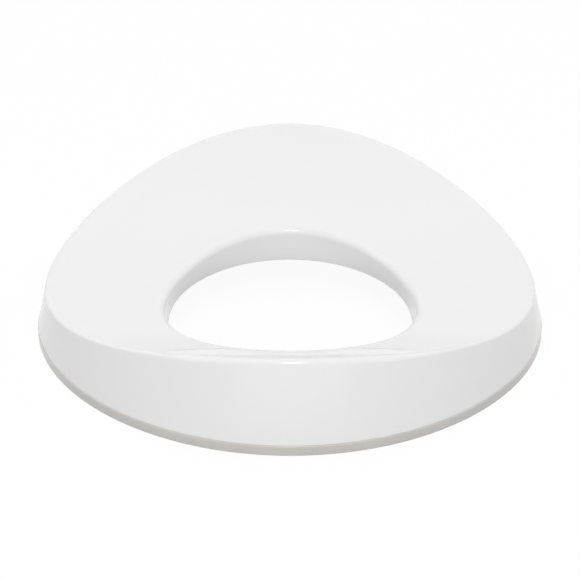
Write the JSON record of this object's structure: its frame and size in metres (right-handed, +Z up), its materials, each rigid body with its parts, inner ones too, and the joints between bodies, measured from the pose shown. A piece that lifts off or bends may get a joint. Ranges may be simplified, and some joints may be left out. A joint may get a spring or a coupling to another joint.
{
  "type": "potty training seat",
  "caption": "Toddler toilet seat: a saddle-shaped moulded shell, high at the back and raised at the front, with an oval skirted hole, on a soft grip rim.",
  "frame": {"origin": "centre of the foot's box on the surface that the seat stands on", "axes": "+X to the right across the seat, +Y from the front lip to the high back, +Z up"},
  "size_m": [0.295, 0.335, 0.078],
  "materials": {
    "white_shell": "smooth gloss white moulding",
    "grey_grip": "soft matt warm grey elastomer"
  },
  "bodies": {
    "root": {"seat_shell": "white_shell", "grip_rim": "grey_grip"}
  },
  "joints": []
}
